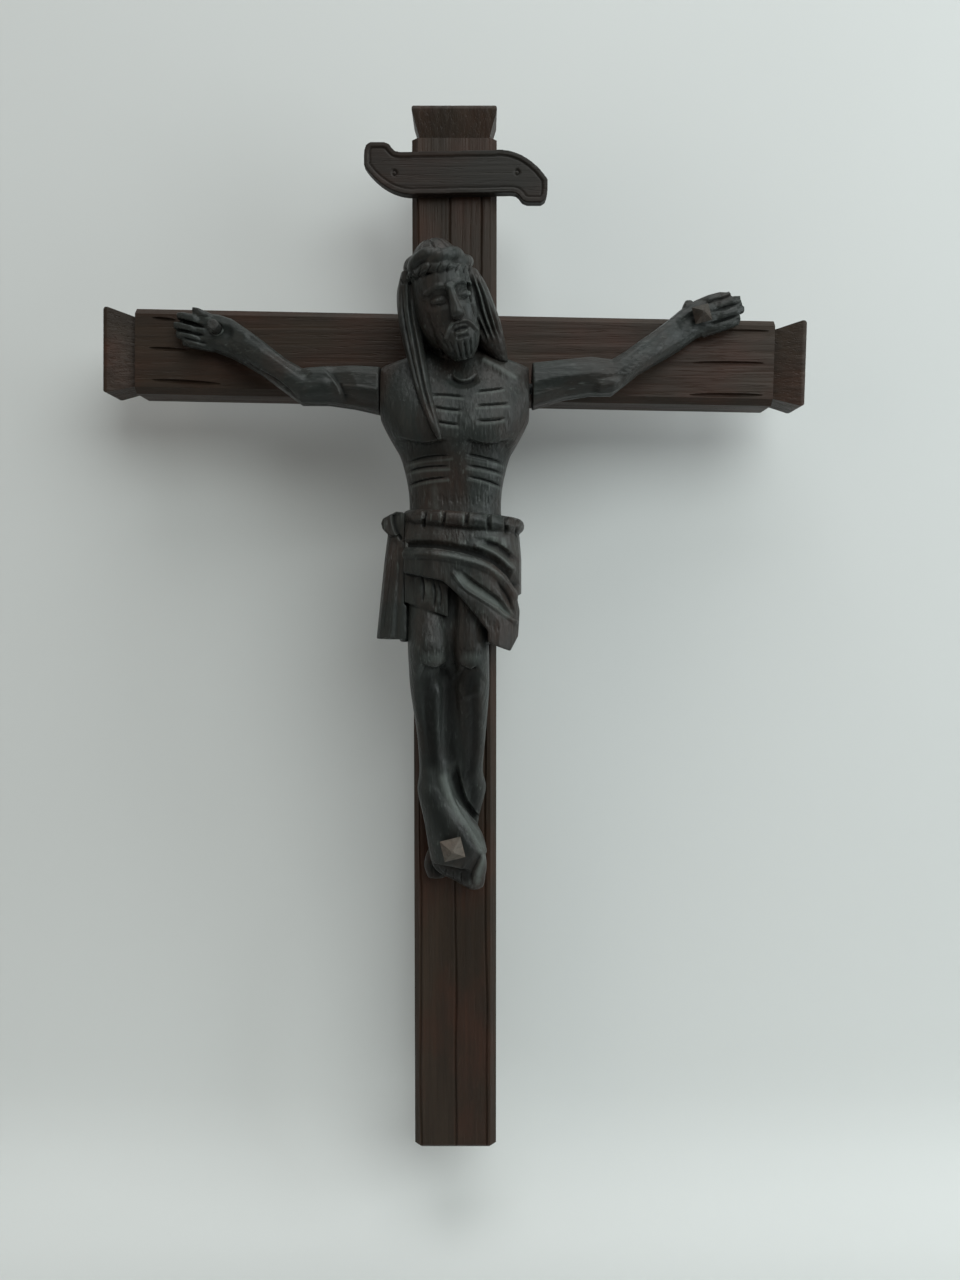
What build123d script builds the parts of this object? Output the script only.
from build123d import *
import os
from math import cos, pi, sin

# A carved wooden wall crucifix. Millimetres, +Z up, +X to the viewer's right, the front
# faces -Y. The back of the cross lies in the plane Y = 0, against the wall, and the
# origin is the mouth of the hanging hole in the back of the upright post.
# Left and right in the names are the carved figure's own, so its right arm is at -X.

# The two timbers of the cross
beam_width = 48.0
beam_depth = 25.0
post_length = 602.0
crossbeam_length = 401.0
crossing_drop = 140.1
crossbeam_tilt = 1.1
edge_chamfer = 3.4
flare_length = 18.6
flare_notch = 4.7
flare_land = 3.0
end_round = 2.2
foot_chamfer = 1.6

# The hanging hole
hang_drop = 61.6
hang_radius = 4.5
hang_depth = 14.0

# The half-lap where the timbers cross, and its two pegs
lap_clearance = 0.2
lap_peg_radius = 3.5
lap_peg_length = 21.0
lap_peg_offset = 13.5

# The title scroll and its two pegs
scroll_width = 102.6
scroll_height = 33.0
scroll_thickness = 6.5
scroll_drop = 40.0
scroll_shift = 1.0
title_peg_radius = 2.4
title_peg_in_scroll = 3.8
title_peg_in_post = 10.0
title_peg_spread = 28.0

# The torso, carved with a flat back
corpus_shift = 0.8
corpus_seat_gap = 0.1
shoulder_drop = 147.6
torso_width = 80.6
torso_height = 98.0
torso_depth = 45.0
neck_width = 76.0
neck_height = 32.0
neck_depth = 34.0

# The head with its crown, hair and beard
head_width = 39.0
head_depth = 44.0
head_height = 63.0
head_shift = -3.6
head_drop = 120.1
head_forward = 35.0
head_tilt = -15.0
head_nod = 12.0
head_turn = 8.0
crown_width = 38.6
crown_depth = 45.5
crown_height = 12.0
crown_shift = 0.6
crown_level = 9.0
crown_lift = -10.0
face_width = 29.0
face_depth = 29.0
face_forward = 8.5
nose_width = 8.0
nose_length = 15.0
nose_reach = 6.5
eye_radius = 4.4
eye_spread = 13.0
beard_width = 24.0
beard_depth = 26.0
beard_height = 24.0
right_lock_drop = 82.5
right_lock_sweep = 26.0
right_lock_forward = 46.0
right_lock_width = 14.0
right_lock_depth = 20.0
left_lock_drop = 42.0
left_lock_sweep = 20.0
left_lock_forward = 28.0
left_lock_width = 17.0
left_lock_depth = 22.0

# The loincloth with its rope belt
belt_drop = 235.1
belt_width = 65.5
belt_depth = 43.0
belt_height = 7.6
belt_shift = 5.2
belt_tilt = 4.0
cloth_left = 26.5
cloth_width = 64.4
cloth_height = 71.0
cloth_depth = 42.0
swag_depth = 47.0
apron_depth = 40.0

# The knot and hanging end of the cloth, glued on at the straight left edge
seam_gap = 0.15
fall_width = 16.0
fall_height = 62.0
fall_depth = 30.0
fall_back_gap = 3.0
fall_overlap = 1.2
knot_width = 13.0
knot_height = 14.5
knot_depth = 24.0
cloth_dowel_radius = 2.0
cloth_dowel_length = 14.0
cloth_dowel_spread = 30.0
cloth_dowel_forward = 15.0

# The legs and the crossed feet
leg_length = 200.0
leg_drop = 243.6
leg_forward = 20.0
leg_width = 20.0
leg_depth = 32.0
leg_spread = 12.0
leg_shift = -2.5
foot_nail_shift = -0.7

# The arms, separate pieces that butt against the shoulders
arm_reach = 117.5
arm_rise = 40.0
arm_forward = 20.0
arm_height = 26.6
arm_depth = 26.0
right_arm_drop = 163.9
left_arm_drop = 161.4
right_arm_gap = 0.6
left_arm_gap = 2.0
arm_seat_gap = 0.15
finger_width = 6.2
finger_depth = 5.6
finger_forward = 5.6
finger_arch = 2.2
shoulder_dowel_radius = 3.0
shoulder_dowel_length = 26.0

# Nails: wooden pegs with faceted heads
nail_radius = 2.4
nail_depth = 11.0
hand_nail_head = 9.4
hand_nail_head_height = 8.0
foot_nail_head = 11.8
foot_nail_head_height = 8.5
plain_nail_radius = 3.0
plain_nail_height = 7.0
plain_nail_chamfer = 0.7
nail_head_gap = 0.15

# Screws from the back of the post into the corpus
screw_radius = 2.1
screw_length = 45.0
screw_head_radius = 4.2
screw_head_height = 2.9
screw_slot_width = 1.0
screw_slot_depth = 1.0
upper_screw_drop = 182.6
lower_screw_drop = 253.6

# Clearance round every peg, dowel and screw, and how far a cut runs past its piece
hole_clearance = 0.12
overrun = 4.0

# Knife-cut facets round the body and round a limb
body_facets = 20
limb_facets = 12
body_squareness = 2.5
limb_squareness = 2.3

# How far back from its front a torso section has its middle
section_middle_share = 0.58

# Torso sections from the shoulders down: drop, width and depth
torso_shares = (
    (0.00, 1.00, 0.56),
    (0.07, 1.09, 0.74),
    (0.18, 1.10, 0.86),
    (0.29, 1.05, 0.95),
    (0.40, 0.93, 1.00),
    (0.495, 0.81, 0.98),
    (0.56, 0.73, 0.87),
    (0.66, 0.67, 0.80),
    (0.77, 0.635, 0.75),
    (0.88, 0.635, 0.75),
    (1.00, 0.66, 0.78),
)

# Neck and trapezius sections from the base up: rise, width and depth
neck_sink_share = 0.25
neck_shares = ((0.00, 1.00, 0.90), (0.30, 0.72, 0.95), (0.55, 0.44, 1.00), (1.00, 0.34, 1.05))

# Hair cap sections from the nape up: height above the head's middle, width and depth
skull_shares = (
    (-0.34, 0.66, 0.62),
    (-0.22, 0.92, 0.86),
    (0.00, 1.00, 0.98),
    (0.22, 0.93, 1.00),
    (0.36, 0.82, 0.92),
    (0.45, 0.62, 0.68),
    (0.50, 0.28, 0.30),
)
skull_back_share = 0.05

# The crown's bulge from its lower edge up
crown_shares = ((-0.50, 0.93), (-0.28, 1.00), (0.28, 1.00), (0.50, 0.90))
crown_rise_share = 0.285

# The face block from the chin up: height above the head's middle, width and depth
face_shares = ((-0.36, 0.62, 0.80), (-0.20, 0.88, 0.94), (0.00, 1.00, 0.97), (0.20, 0.98, 1.00))
eye_rise_share = 0.045
eye_sink_share = 0.62
eye_flat_share = 0.55
nose_top_share = 0.10

# The nose from its root down: drop, width and reach
nose_shares = ((0.00, 0.40, 0.10), (0.55, 0.62, 0.62), (1.00, 1.00, 1.00), (1.08, 0.70, 0.55))
nose_root_share = 0.86

# The beard from the cheeks down: drop, width and depth
beard_shares = ((0.00, 0.96, 0.92), (0.35, 1.00, 1.00), (0.75, 0.80, 0.86), (1.00, 0.46, 0.50))
beard_top_share = 0.11
beard_lean_share = 0.08

# A lock of hair from the temple down: drop, sweep, forward, width and depth
right_lock_shares = (
    (0.00, 0.10, 0.70, 0.80, 0.95),
    (0.16, 0.00, 0.66, 1.00, 1.00),
    (0.40, 0.04, 0.74, 0.92, 0.84),
    (0.64, 0.20, 0.92, 0.84, 0.62),
    (0.84, 0.42, 1.00, 0.62, 0.44),
    (1.00, 0.64, 1.02, 0.16, 0.18),
)
left_lock_shares = (
    (0.00, 0.00, 1.06, 0.90, 1.00),
    (0.35, 0.36, 1.00, 1.00, 1.00),
    (0.70, 0.74, 0.92, 0.84, 0.86),
    (1.00, 1.00, 0.86, 0.42, 0.50),
)
right_lock_start_share = 0.52
left_lock_start_share = 0.28
right_lock_top_share = 0.13
left_lock_top_share = 0.15

# Rope belt profile from its lower edge up
belt_shares = ((-0.50, 0.92), (-0.25, 1.00), (0.25, 1.00), (0.50, 0.92))

# Cloth sections from the belt down: drop, width and depth
cloth_shares = (
    (-0.02, 0.94, 0.90),
    (0.12, 1.05, 0.96),
    (0.30, 1.08, 1.00),
    (0.60, 1.08, 1.02),
    (1.04, 1.05, 1.00),
)
cloth_middle_share = 0.455

# Outlines on the front of the cloth: across from its left edge, and down from the belt
upper_cloth_shares = (
    (-0.10, -0.02), (0.99, -0.02), (1.00, 0.22), (1.00, 0.565), (0.955, 0.58),
    (0.80, 0.48), (0.42, 0.32), (-0.10, 0.28),
)
swag_shares = (
    (-0.08, 0.205), (0.295, 0.225), (0.485, 0.256), (0.635, 0.295), (0.75, 0.345), (0.855, 0.425),
    (0.935, 0.53), (0.975, 0.70), (0.96, 0.89), (0.89, 1.00), (0.70, 0.93), (0.70, 0.84),
    (0.58, 0.70), (0.45, 0.565), (0.33, 0.465), (-0.08, 0.39),
)
apron_shares = ((-0.06, 0.32), (0.37, 0.32), (0.37, 0.735), (-0.06, 0.61))

# The fall from its top down: drop, width and depth
fall_shares = ((0.00, 0.62, 0.72), (0.30, 0.76, 0.86), (0.65, 0.90, 0.95), (1.00, 1.04, 1.00))
# How far down the cloth its hanging end reaches past the seam, under the apron
fall_step_share = 0.65

# The knot's eight-sided outline: across from the seam, and down from its top
knot_shares = (
    (0.00, 0.00), (0.36, -0.05), (0.92, 0.22), (1.00, 0.40), (0.94, 0.62), (0.66, 0.88),
    (0.28, 0.86), (0.00, 1.06),
)
knot_rise_share = 0.30

# A leg from the hip to the toes: drop, shift across, forward, width and depth
right_leg_shares = (
    (0.00, -0.90, 1.00, 1.10, 0.90),
    (0.16, -0.92, 1.05, 1.16, 0.94),
    (0.30, -0.93, 1.34, 1.11, 1.00),
    (0.355, -1.01, 1.32, 0.94, 0.94),
    (0.43, -1.14, 1.02, 0.77, 0.86),
    (0.56, -1.02, 0.86, 0.56, 0.68),
    (0.66, -0.92, 0.80, 0.60, 0.56),
    (0.71, -0.82, 0.84, 0.82, 0.54),
    (0.795, -0.22, 0.90, 1.17, 0.50),
    (0.88, 0.31, 0.84, 1.55, 0.45),
    (0.94, 0.52, 0.74, 1.45, 0.38),
    (0.975, 1.02, 0.64, 0.78, 0.30),
    (0.995, 1.34, 0.58, 0.30, 0.18),
)
left_leg_shares = (
    (0.00, 0.94, 1.00, 1.00, 0.90),
    (0.16, 0.94, 1.05, 1.01, 0.94),
    (0.30, 0.98, 1.30, 0.99, 1.00),
    (0.355, 1.06, 1.28, 0.92, 0.94),
    (0.43, 1.14, 0.98, 0.83, 0.86),
    (0.56, 1.10, 0.74, 0.68, 0.66),
    (0.66, 1.06, 0.54, 0.58, 0.54),
    (0.71, 1.125, 0.44, 0.69, 0.48),
    (0.795, 0.67, 0.36, 0.84, 0.42),
    (0.865, 0.17, 0.31, 1.22, 0.37),
    (0.93, -0.41, 0.29, 1.04, 0.34),
    (0.975, -0.675, 0.29, 0.49, 0.28),
)
foot_nail_share = 0.865

# Wood left standing between the thighs and the shins, in the same rows
web_shares = (
    (0.06, 0.08, 0.30, 1.50, 1.00),
    (0.36, 0.08, 0.30, 1.15, 0.95),
    (0.54, 0.12, 0.25, 0.95, 0.70),
    (0.70, 0.20, 0.20, 0.95, 0.50),
    (0.84, 0.30, 0.16, 0.90, 0.40),
)

# An arm from the shoulder to the knuckles: reach, rise, forward, height and depth
right_arm_shares = (
    (0.00, 0.00, 1.00, 1.00, 1.00),
    (0.12, 0.05, 1.00, 0.91, 0.92),
    (0.24, 0.07, 1.00, 0.82, 0.85),
    (0.365, 0.06, 0.98, 0.78, 0.80),
    (0.44, 0.20, 0.95, 0.72, 0.74),
    (0.555, 0.465, 0.80, 0.74, 0.62),
    (0.645, 0.65, 0.58, 0.79, 0.54),
    (0.72, 0.79, 0.40, 0.84, 0.48),
    (0.79, 0.87, 0.30, 0.82, 0.46),
    (0.85, 0.91, 0.27, 0.74, 0.42),
    (0.89, 0.93, 0.25, 0.56, 0.32),
)
left_arm_shares = (
    (0.00, 0.00, 1.00, 0.98, 1.00),
    (0.15, 0.09, 1.00, 0.84, 0.92),
    (0.27, 0.135, 1.00, 0.82, 0.85),
    (0.37, 0.12, 0.98, 0.76, 0.80),
    (0.435, 0.25, 0.96, 0.71, 0.76),
    (0.50, 0.40, 0.90, 0.69, 0.70),
    (0.575, 0.545, 0.80, 0.725, 0.62),
    (0.64, 0.68, 0.62, 0.79, 0.54),
    (0.71, 0.84, 0.44, 0.85, 0.48),
    (0.79, 1.00, 0.32, 0.80, 0.46),
    (0.86, 1.07, 0.28, 0.70, 0.42),
    (0.90, 1.10, 0.26, 0.54, 0.32),
)

# Fingers, thumb first: reach and rise of the root, then of the tip
right_finger_shares = (
    (0.78, 1.00, 0.91, 1.20),
    (0.85, 1.01, 0.985, 1.12),
    (0.86, 0.88, 1.00, 0.99),
    (0.85, 0.78, 0.99, 0.865),
    (0.83, 0.70, 0.96, 0.76),
)
left_finger_shares = (
    (0.73, 0.98, 0.755, 1.27),
    (0.80, 1.21, 0.93, 1.34),
    (0.847, 1.13, 1.00, 1.29),
    (0.86, 1.00, 1.02, 1.15),
    (0.845, 0.85, 0.998, 0.985),
)
finger_taper_shares = ((-0.15, 1.00), (0.35, 1.05), (0.75, 0.92), (1.00, 0.62))
right_nail_shares = (0.785, 0.915)
left_nail_shares = (0.80, 1.02)

# The scroll's upper edge from the left curl to the right shoulder. Half a turn about
# the middle gives the lower edge.
scroll_curl_shares = (
    (-1.00, 0.55), (-0.995, 0.74), (-0.975, 0.91), (-0.93, 1.00), (-0.78, 1.00), (-0.725, 0.93),
    (-0.69, 0.78), (-0.655, 0.69), (-0.60, 0.67),
)
scroll_brow_shares = ((0.42, 0.73), (0.64, 0.66), (0.85, 0.29), (1.00, -0.24))

# Facets of a nail head from its collar up: rise and width
nail_facet_shares = ((0.00, 0.62), (0.36, 1.00), (1.00, 0.14))
nail_turn = 14.0

post_top = hang_drop
post_bottom = post_top - post_length
crossing_z = post_top - crossing_drop
lap_y = -beam_depth / 2
shoulder_z = post_top - shoulder_drop
belt_z = post_top - belt_drop
cloth_x = -cloth_left
cloth_z = belt_z
head_z = post_top - head_drop
leg_z = post_top - leg_drop
scroll_z = post_top - scroll_drop
right_arm_z = post_top - right_arm_drop
left_arm_z = post_top - left_arm_drop
right_joint_x = corpus_shift - torso_width / 2
left_joint_x = corpus_shift + torso_width / 2
shoulder_dowel_z = (right_arm_z + left_arm_z) / 2


def ahead(distance):
    """The Y of a point that lies this far in front of the timbers' front faces."""
    return -(beam_depth + distance)


def cut_oval(plane, count, width, depth, squareness):
    """An oval section with cut facets, squarer as squareness grows."""
    corners = []
    for step in range(count):
        turn = 2 * pi * step / count
        across = abs(cos(turn)) ** (2 / squareness)
        deep = abs(sin(turn)) ** (2 / squareness)
        side = 1 if cos(turn) > 0 else -1
        face = 1 if sin(turn) > 0 else -1
        corners.append((side * across * width / 2, face * deep * depth / 2))
    return plane * make_face(Polyline(*corners, close=True))


def level_oval(x, y, z, width, depth):
    """A horizontal body section with its middle at x, y and z."""
    plane = Plane(origin=(x, y, z), x_dir=(1, 0, 0), z_dir=(0, 0, 1))
    return cut_oval(plane, body_facets, width, depth, body_squareness)


def limb(rows, level):
    """A limb with knife-cut facets, through level sections or upright ones square to X. Each
    row has the middle's x, z and distance ahead, the height or width, and the depth."""
    sections = []
    for x, z, forward, width, depth in rows:
        normal = (0, 0, 1) if level else (1, 0, 0)
        across = (1, 0, 0) if level else (0, 0, 1)
        plane = Plane(origin=(x, ahead(forward), z), x_dir=across, z_dir=normal)
        sections.append(cut_oval(plane, limb_facets, width, depth, limb_squareness))
    return loft(sections, ruled=True)


def rod(radius, length, x, y, z, turn):
    """A round rod along Y or X: turn is its rotation from +Z about X and Y."""
    return Pos(x, y, z) * Rot(*turn) * Cylinder(radius, length)


along_y = (90, 0, 0)
along_x = (0, 90, 0)


def block(x_range, y_range, z_range):
    """A box between two corners."""
    size = [high - low for low, high in (x_range, y_range, z_range)]
    middle = [(high + low) / 2 for low, high in (x_range, y_range, z_range)]
    return Pos(*middle) * Box(*size)


def timber(length, low_flare, high_flare):
    """A timber along Z from 0 up, its back in the plane Y = 0, with carved flared ends."""
    low = flare_length if low_flare else 0
    high = length - flare_length if high_flare else length
    body = block((-beam_width / 2, beam_width / 2), (-beam_depth, 0), (low, high))
    front_edges = body.faces().sort_by(Axis.Y)[0].edges().filter_by(Axis.Z)
    body = chamfer(front_edges, edge_chamfer)
    if not low_flare:
        body = chamfer(body.faces().sort_by(Axis.Z)[0].edges(), foot_chamfer)
    if high_flare:
        body += Pos(0, 0, high) * flared_end()
    if low_flare:
        body += Pos(0, 0, low) * Rot(0, 180, 0) * flared_end()
    return body


def flared_end():
    """The carved end: from a narrow neck it widens to the timber's full section."""
    neck_width_here = beam_width - 2 * flare_notch
    neck_depth_here = beam_depth - flare_notch
    neck = Pos(0, -neck_depth_here / 2, 0) * Rectangle(neck_width_here, neck_depth_here)
    wide_z = flare_length - flare_land
    wide = Pos(0, -beam_depth / 2, wide_z) * Rectangle(beam_width, beam_depth)
    land = block((-beam_width / 2, beam_width / 2), (-beam_depth, 0), (wide_z, flare_length))
    end = loft([neck, wide]) + land
    top_edges = end.faces().sort_by(Axis.Z)[-1].edges()
    outer_edges = top_edges.sort_by(Axis.Y)[:-1]
    return fillet(outer_edges, end_round)


def cross_place():
    """Where the crossbeam's own frame, along +X from its middle, lies in the part."""
    return Pos(0, 0, crossing_z) * Rot(0, crossbeam_tilt, 0)


def make_post():
    post = Pos(0, 0, post_bottom) * timber(post_length, False, True)
    lap_height = beam_width + 2 * lap_clearance
    half_run = beam_width / 2 + overrun
    lap = block((-half_run, half_run), (-beam_depth - overrun, lap_y), (-lap_height / 2, lap_height / 2))
    post -= cross_place() * lap
    post -= rod(hang_radius, 2 * hang_depth, 0, 0, 0, along_y)
    for x, z in lap_peg_places():
        post -= rod(lap_peg_radius + hole_clearance, 2 * beam_depth, x, 0, z, along_y)
    for x in title_peg_places():
        depth = title_peg_in_post + hole_clearance
        post -= rod(title_peg_radius + hole_clearance, 2 * depth, x, -beam_depth, scroll_z, along_y)
    for z in screw_places():
        post -= screw_hole(z)
    post -= foot_nail_hole()
    return post


def make_crossbeam():
    beam = Rot(0, 90, 0) * Pos(0, 0, -crossbeam_length / 2) * timber(crossbeam_length, True, True)
    beam = cross_place() * beam
    lap_half = beam_width / 2 + lap_clearance
    half_run = beam_width / 2 + overrun
    beam -= block((-lap_half, lap_half), (lap_y, overrun), (crossing_z - half_run, crossing_z + half_run))
    peg_end = lap_peg_length + hole_clearance
    for x, z in lap_peg_places():
        beam -= rod(lap_peg_radius + hole_clearance, 2 * peg_end, x, 0, z, along_y)
    for nail_x, nail_z, radius in hand_nail_places():
        beam -= nail_hole(nail_x, nail_z, radius)
    return beam


def lap_peg_places():
    """The two pegs stand on a diagonal of the crossing."""
    return [(side * lap_peg_offset, crossing_z + side * lap_peg_offset) for side in (-1, 1)]


def title_peg_places():
    return [scroll_shift + side * title_peg_spread / 2 for side in (-1, 1)]


def screw_places():
    return [post_top - upper_screw_drop, post_top - lower_screw_drop]


def make_lap_pegs():
    pegs = [rod(lap_peg_radius, lap_peg_length, x, -lap_peg_length / 2, z, along_y)
            for x, z in lap_peg_places()]
    return Compound(children=pegs)


def make_title_pegs():
    length = title_peg_in_scroll + title_peg_in_post
    middle = -beam_depth + (title_peg_in_post - title_peg_in_scroll) / 2
    pegs = [rod(title_peg_radius, length, x, middle, scroll_z, along_y) for x in title_peg_places()]
    return Compound(children=pegs)


def make_scroll():
    """An S-shaped plaque: the same edge serves above and, turned half round, below."""
    half_width = scroll_width / 2
    half_height = scroll_height / 2
    curl = [(x * half_width, z * half_height) for x, z in scroll_curl_shares]
    brow = [(x * half_width, z * half_height) for x, z in scroll_brow_shares]
    next_curl = (-curl[0][0], -curl[0][1])
    edge = Polyline(*curl, brow[0]) + Spline(*brow) + Line(brow[-1], next_curl)
    turned = Rot(0, 0, 180) * edge
    face = make_face(edge + turned)
    plaque = Plane.XZ * extrude(face, scroll_thickness)
    plaque = Pos(scroll_shift, -beam_depth, scroll_z) * plaque
    depth = title_peg_in_scroll + hole_clearance
    for x in title_peg_places():
        plaque -= rod(title_peg_radius + hole_clearance, 2 * depth, x, -beam_depth, scroll_z, along_y)
    return plaque


def make_torso():
    sections = []
    for drop, width, depth in torso_shares:
        deep = depth * torso_depth
        y = ahead(deep * (1 - section_middle_share))
        z = shoulder_z - drop * torso_height
        sections.append(level_oval(corpus_shift, y, z, width * torso_width, 2 * deep * section_middle_share))
    torso = loft(sections, ruled=True)
    tall = (shoulder_z - torso_height - overrun, shoulder_z + overrun)
    deep_run = (ahead(2 * torso_depth), 0)
    torso -= block((left_joint_x, left_joint_x + torso_width), deep_run, tall)
    torso -= block((right_joint_x - torso_width, right_joint_x), deep_run, tall)
    return torso


def make_neck():
    sections = []
    base_z = shoulder_z - neck_sink_share * neck_height
    for rise, width, depth in neck_shares:
        deep = depth * neck_depth
        x = corpus_shift + rise * (head_shift - corpus_shift) / 2
        y = ahead(deep * (1 - section_middle_share))
        z = base_z + rise * neck_height
        sections.append(level_oval(x, y, z, width * neck_width, 2 * deep * section_middle_share))
    return loft(sections, ruled=True)


def head_place():
    """The head's own frame: its middle, leaning to its right, bowed and turned."""
    lean = Rot(0, head_tilt, 0) * Rot(head_nod, 0, 0) * Rot(0, 0, head_turn)
    return Pos(head_shift, ahead(head_forward), head_z) * lean


def make_head():
    """Hair cap, crown, face, nose and beard about the head's middle, then put in place."""
    back_y = skull_back_share * head_depth
    skull = loft([level_oval(0, back_y, z * head_height, w * head_width, d * head_depth)
                  for z, w, d in skull_shares], ruled=True)
    crown_z = crown_rise_share * head_height
    crown = loft([level_oval(0, 0, z * crown_height, w * crown_width, w * crown_depth)
                  for z, w in crown_shares], ruled=True)
    crown = Pos(crown_shift, 0, crown_z) * Rot(crown_lift, crown_level, 0) * crown
    face = loft([level_oval(0, -face_forward, z * head_height, w * face_width, d * face_depth)
                 for z, w, d in face_shares], ruled=True)
    head = skull + face + make_beard()
    brow_y = -(face_forward + face_depth / 2)
    eye_z = eye_rise_share * head_height
    socket = scale(Sphere(eye_radius), by=(1, 1, eye_flat_share))
    eyeball = scale(Sphere(eye_radius * eye_sink_share), by=(1, 1, eye_flat_share))
    eye_y = brow_y + eye_radius * eye_flat_share
    for side in (-1, 1):
        head -= Pos(side * eye_spread / 2, brow_y, eye_z) * socket
        head += Pos(side * eye_spread / 2, eye_y, eye_z) * eyeball
    head += make_nose()
    head += crown
    return head_place() * head


def make_nose():
    root_y = -(face_forward + nose_root_share * face_depth / 2)
    top_z = nose_top_share * head_height
    sections = []
    for drop, width, reach in nose_shares:
        y = root_y - reach * nose_reach / 2
        z = top_z - drop * nose_length
        sections.append(level_oval(0, y, z, width * nose_width, nose_reach * (1 + reach)))
    return loft(sections, ruled=True)


def make_beard():
    sections = []
    top_z = -beard_top_share * head_height
    for drop, width, depth in beard_shares:
        y = -(face_forward + drop * beard_lean_share * beard_height)
        z = top_z - drop * beard_height
        sections.append(level_oval(0, y, z, width * beard_width, depth * beard_depth))
    return loft(sections, ruled=True)


def make_lock(side, shares, start, top, drop, sweep, forward, width, depth):
    """A lock of hair. Its sweep runs towards the chest on one side, outwards on the other."""
    rows = []
    start_x = head_shift + side * start * head_width
    start_z = head_z + top * head_height
    for down, over, ahead_share, wide, deep in shares:
        rows.append((start_x + over * sweep, start_z - down * drop, ahead_share * forward,
                     wide * width, deep * depth))
    return limb(rows, True)


def make_hair():
    right_lock = make_lock(-1, right_lock_shares, right_lock_start_share, right_lock_top_share,
                           right_lock_drop, right_lock_sweep, right_lock_forward,
                           right_lock_width, right_lock_depth)
    left_lock = make_lock(1, left_lock_shares, left_lock_start_share, left_lock_top_share,
                          left_lock_drop, left_lock_sweep, left_lock_forward,
                          left_lock_width, left_lock_depth)
    return [right_lock, left_lock]


def cloth_form(depth):
    """The rounded body of the cloth at one depth, before its outline is cut."""
    sections = []
    x = cloth_x + cloth_middle_share * cloth_width
    for drop, width, deep in cloth_shares:
        full = deep * depth
        y = ahead(full * (1 - section_middle_share))
        z = cloth_z - drop * cloth_height
        sections.append(level_oval(x, y, z, width * cloth_width, 2 * full * section_middle_share))
    return loft(sections, ruled=True)


def cloth_layer(outline, depth):
    """One layer of the loincloth: the rounded form inside an outline seen from the front."""
    corners = [(cloth_x + x * cloth_width, cloth_z - z * cloth_height) for x, z in outline]
    face = Plane.XZ * make_face(Polyline(*corners, close=True))
    return cloth_form(depth) & extrude(face, beam_depth + 2 * swag_depth)


def make_cloth():
    upper = cloth_layer(upper_cloth_shares, cloth_depth)
    swag = cloth_layer(swag_shares, swag_depth)
    apron = cloth_layer(apron_shares, apron_depth)
    return upper + swag + apron


def make_belt():
    y = ahead(belt_depth * (1 - section_middle_share))
    sections = []
    for rise, share in belt_shares:
        deep = 2 * belt_depth * section_middle_share
        sections.append(level_oval(0, 0, rise * belt_height, share * belt_width, share * deep))
    return Pos(belt_shift, y, belt_z) * Rot(0, belt_tilt, 0) * loft(sections, ruled=True)


def make_leg(shares):
    """A leg with its foot, or the wood between the legs, in one loft from the top down."""
    rows = []
    for down, over, forward, width, depth in shares:
        rows.append((leg_shift + over * leg_spread, leg_z - down * leg_length,
                     forward * leg_forward, width * leg_width, depth * leg_depth))
    return limb(rows, True)


def make_corpus():
    body = make_torso() + make_neck() + make_head()
    for lock in make_hair():
        body += lock
    hips = make_cloth() + make_belt()
    hips += make_leg(right_leg_shares)
    hips += make_leg(left_leg_shares)
    hips += make_leg(web_shares)
    hips -= block((cloth_x - cloth_width, cloth_x), (ahead(2 * swag_depth), 0),
                  (cloth_z - cloth_height, cloth_z + cloth_height))
    body += hips
    half_span = crossbeam_length / 2
    body -= block((-half_span, half_span), (ahead(corpus_seat_gap), overrun), (post_bottom, post_top))
    for z in screw_places():
        body -= screw_hole(z)
    for joint_x in (right_joint_x, left_joint_x):
        body -= shoulder_dowel(joint_x, hole_clearance)
    for z in cloth_dowel_places():
        body -= cloth_dowel(z, hole_clearance)
    body -= foot_nail_hole()
    return body


def make_arm(side, joint_x, gap, joint_z, shares, fingers, nail):
    """An arm with its hand. It butts on the shoulder and its hand lies on the crossbeam."""
    start_x = joint_x + side * gap
    rows = []
    for reach, rise, forward, height, depth in shares:
        rows.append((start_x + side * reach * arm_reach, joint_z + rise * arm_rise,
                     forward * arm_forward, height * arm_height, depth * arm_depth))
    arm = limb(rows, False)
    for root_reach, root_rise, tip_reach, tip_rise in fingers:
        root = (start_x + side * root_reach * arm_reach, joint_z + root_rise * arm_rise)
        tip = (start_x + side * tip_reach * arm_reach, joint_z + tip_rise * arm_rise)
        arm += make_finger(root, tip)
    span = crossbeam_length / 2
    arm -= block((-span, span), (ahead(arm_seat_gap), overrun), (crossing_z - span, crossing_z + span))
    square_run = (joint_z - arm_height, joint_z + arm_height)
    past_joint = sorted((start_x, start_x - side * arm_height))
    arm -= block(past_joint, (ahead(2 * arm_depth), 0), square_run)
    arm -= shoulder_dowel(joint_x, hole_clearance)
    arm -= nail_hole(*nail)
    return arm


def make_finger(root, tip):
    """A finger that arches a little off the timber between its root and its tip."""
    rows = []
    for along, share in finger_taper_shares:
        x = root[0] + along * (tip[0] - root[0])
        z = root[1] + along * (tip[1] - root[1])
        forward = finger_forward + finger_arch * sin(pi * max(along, 0))
        rows.append((x, z, forward, share * finger_width, share * finger_depth))
    steep = abs(tip[1] - root[1]) > abs(tip[0] - root[0])
    return limb(rows, steep)


def shoulder_dowel(joint_x, clearance):
    """The dowel across a shoulder joint, or its hole when given a clearance."""
    length = shoulder_dowel_length + 2 * clearance
    return rod(shoulder_dowel_radius + clearance, length, joint_x, ahead(arm_forward),
               shoulder_dowel_z, along_x)


def cloth_dowel_places():
    middle = cloth_z - fall_height / 2
    return [middle + side * cloth_dowel_spread / 2 for side in (-1, 1)]


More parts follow.
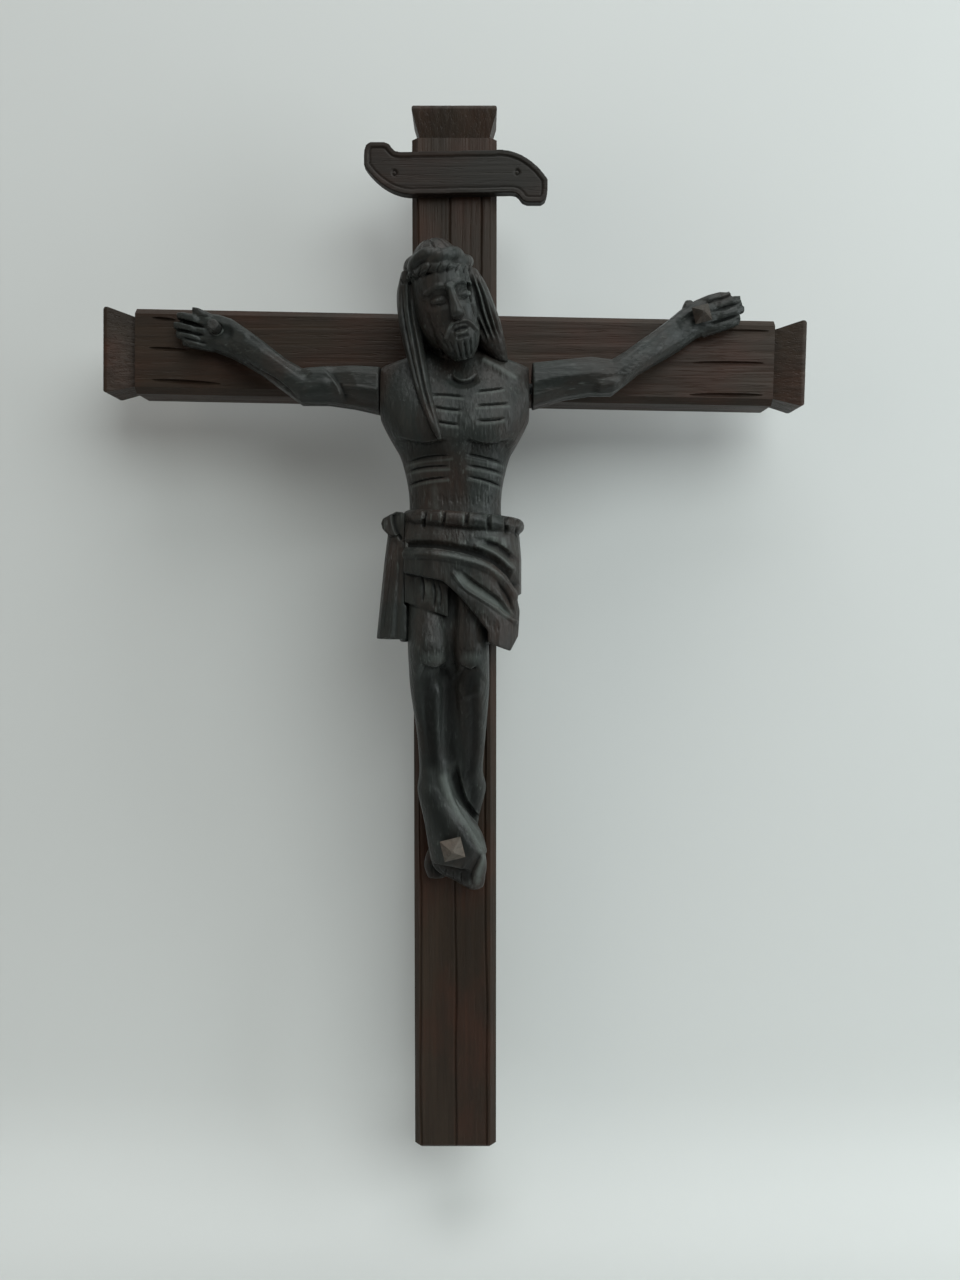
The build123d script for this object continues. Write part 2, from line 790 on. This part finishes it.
def cloth_dowel(z, clearance):
    """A small dowel across the seam of the hanging cloth, or its hole."""
    length = cloth_dowel_length + 2 * clearance
    return rod(cloth_dowel_radius + clearance, length, cloth_x, ahead(cloth_dowel_forward), z, along_x)


def make_cloth_dowels():
    return Compound(children=[cloth_dowel(z, 0) for z in cloth_dowel_places()])


def make_fall():
    """The knot over the hanging end of the cloth, flat where it is glued to the corpus."""
    seam_x = cloth_x - seam_gap
    knot_top = cloth_z + knot_rise_share * knot_height
    fall_top = knot_top - knot_height / 2
    sections = []
    for drop, width, depth in fall_shares:
        deep = depth * fall_depth
        y = ahead(fall_back_gap + deep / 2)
        sections.append(level_oval(seam_x, y, fall_top - drop * fall_height, 2 * width * fall_width, deep))
    fall = loft(sections, ruled=True)
    corners = [(seam_x - x * knot_width, knot_top - z * knot_height) for x, z in knot_shares]
    outline = Plane.XZ * make_face(Polyline(*corners, close=True))
    knot = extrude(outline, knot_depth)
    fall += Pos(0, ahead(fall_back_gap), 0) * knot
    step_z = cloth_z - fall_step_share * cloth_height
    upper_run = (step_z, fall_top + fall_height)
    lower_run = (fall_top - 2 * fall_height, step_z)
    for edge_x, run in ((seam_x, upper_run), (seam_x + fall_overlap, lower_run)):
        fall -= block((edge_x, edge_x + 2 * fall_width), (ahead(2 * fall_depth), 0), run)
    for z in cloth_dowel_places():
        fall -= cloth_dowel(z, hole_clearance)
    return fall


def hand_nail_places():
    """The nail of each hand: its place, and the radius of its shank."""
    right_x = right_joint_x - right_arm_gap - right_nail_shares[0] * arm_reach
    right_z = right_arm_z + right_nail_shares[1] * arm_rise
    left_x = left_joint_x + left_arm_gap + left_nail_shares[0] * arm_reach
    left_z = left_arm_z + left_nail_shares[1] * arm_rise
    return [(right_x, right_z, plain_nail_radius), (left_x, left_z, nail_radius)]


def foot_nail_place():
    return (foot_nail_shift, leg_z - foot_nail_share * leg_length)


def nail_hole(x, z, radius):
    """The hole a nail's shank passes, from in front of the hand into the timber."""
    deep = nail_depth + hole_clearance
    reach = arm_depth + overrun
    middle = ahead((reach - deep) / 2)
    return rod(radius + hole_clearance, reach + deep, x, middle, z, along_y)


def foot_nail_hole():
    x, z = foot_nail_place()
    return nail_hole(x, z, nail_radius)


def make_nail(x, z, radius, seat, head_width_here, head_height_here):
    """A nail: a round shank in the timber and a head with cut facets on the carving."""
    length = nail_depth + seat
    shank = rod(radius, length, x, ahead((seat - nail_depth) / 2), z, along_y)
    sections = []
    for rise, share in nail_facet_shares:
        y = ahead(seat + rise * head_height_here)
        plane = Plane(origin=(x, y, z), x_dir=(1, 0, 0), z_dir=(0, -1, 0))
        side = share * head_width_here
        sections.append(plane * Rot(0, 0, nail_turn) * Rectangle(side, side))
    return shank + loft(sections, ruled=True)


def make_plain_nail(x, z, seat):
    """A plain wooden peg whose end stands out of the palm."""
    length = nail_depth + seat + plain_nail_height
    peg = rod(plain_nail_radius, length, x, ahead((length - 2 * nail_depth) / 2), z, along_y)
    end_edges = peg.faces().sort_by(Axis.Y)[0].edges()
    return chamfer(end_edges, plain_nail_chamfer)


def screw_hole(z):
    """The hole and countersink of one screw."""
    hole = rod(screw_radius + hole_clearance, 2 * (screw_length + hole_clearance), 0, 0, z, along_y)
    sink_radius = screw_head_radius + hole_clearance
    sink = Cone(screw_radius + hole_clearance, sink_radius, screw_head_height)
    return hole + Pos(0, -screw_head_height / 2, z) * Rot(-90, 0, 0) * sink


def make_screw(z):
    """A slotted countersunk wood screw, its head flush with the post's back."""
    head = Pos(0, -screw_head_height / 2, z) * Rot(-90, 0, 0) * Cone(
        screw_radius, screw_head_radius, screw_head_height)
    shank_length = screw_length - screw_head_height
    shank = rod(screw_radius, shank_length, 0, -(screw_length + screw_head_height) / 2, z, along_y)
    slot_run = screw_head_radius + overrun
    slot = block((-slot_run, slot_run), (-screw_slot_depth, overrun),
                 (z - screw_slot_width / 2, z + screw_slot_width / 2))
    return head + shank - slot


def make_screws():
    return Compound(children=[make_screw(z) for z in screw_places()])


def front_of(shares, along, forward, depth):
    """How far a limb's front lies ahead of the timber at one share of its length."""
    low, high = next(pair for pair in zip(shares, shares[1:]) if along <= pair[1][0])
    part = (along - low[0]) / (high[0] - low[0])
    middle = low[2] + part * (high[2] - low[2])
    thick = low[4] + part * (high[4] - low[4])
    return middle * forward + thick * depth / 2


def hand_seat(shares, nail, head):
    """Where a hand nail's head sits: on the highest part of the palm under it."""
    reach = head / arm_reach / 2
    places = (nail[0] - reach, nail[0], nail[0] + reach)
    return max(front_of(shares, place, arm_forward, arm_depth) for place in places) + nail_head_gap


def foot_seat():
    """Where the foot nail's head sits: on the highest part of the foot under it."""
    reach = nail_facet_shares[0][1] * foot_nail_head / leg_length / 2
    places = (foot_nail_share - reach, foot_nail_share, foot_nail_share + reach)
    fronts = [front_of(right_leg_shares, place, leg_forward, leg_depth) for place in places]
    return max(fronts) + nail_head_gap


right_nail, left_nail = hand_nail_places()
right_seat = hand_seat(right_arm_shares, right_nail_shares, 2 * plain_nail_radius)
left_seat = hand_seat(left_arm_shares, left_nail_shares, nail_facet_shares[0][1] * hand_nail_head)
foot_nail_x, foot_nail_z = foot_nail_place()

nodes = {
    "upright_post": make_post(),
    "crossbeam": make_crossbeam(),
    "lap_pegs": make_lap_pegs(),
    "title_scroll": make_scroll(),
    "title_pegs": make_title_pegs(),
    "corpus_body": make_corpus(),
    "right_arm": make_arm(-1, right_joint_x, right_arm_gap, right_arm_z, right_arm_shares,
                          right_finger_shares, right_nail),
    "left_arm": make_arm(1, left_joint_x, left_arm_gap, left_arm_z, left_arm_shares,
                         left_finger_shares, left_nail),
    "right_shoulder_dowel": shoulder_dowel(right_joint_x, 0),
    "left_shoulder_dowel": shoulder_dowel(left_joint_x, 0),
    "loincloth_fall": make_fall(),
    "loincloth_dowels": make_cloth_dowels(),
    "right_hand_nail": make_plain_nail(right_nail[0], right_nail[1], right_seat),
    "left_hand_nail": make_nail(left_nail[0], left_nail[1], nail_radius, left_seat,
                                hand_nail_head, hand_nail_head_height),
    "foot_nail": make_nail(foot_nail_x, foot_nail_z, nail_radius, foot_seat(),
                           foot_nail_head, foot_nail_head_height),
    "corpus_screws": make_screws(),
}

os.makedirs("parts", exist_ok=True)
for name, solid in nodes.items():
    export_step(solid, "parts/" + name + ".step")
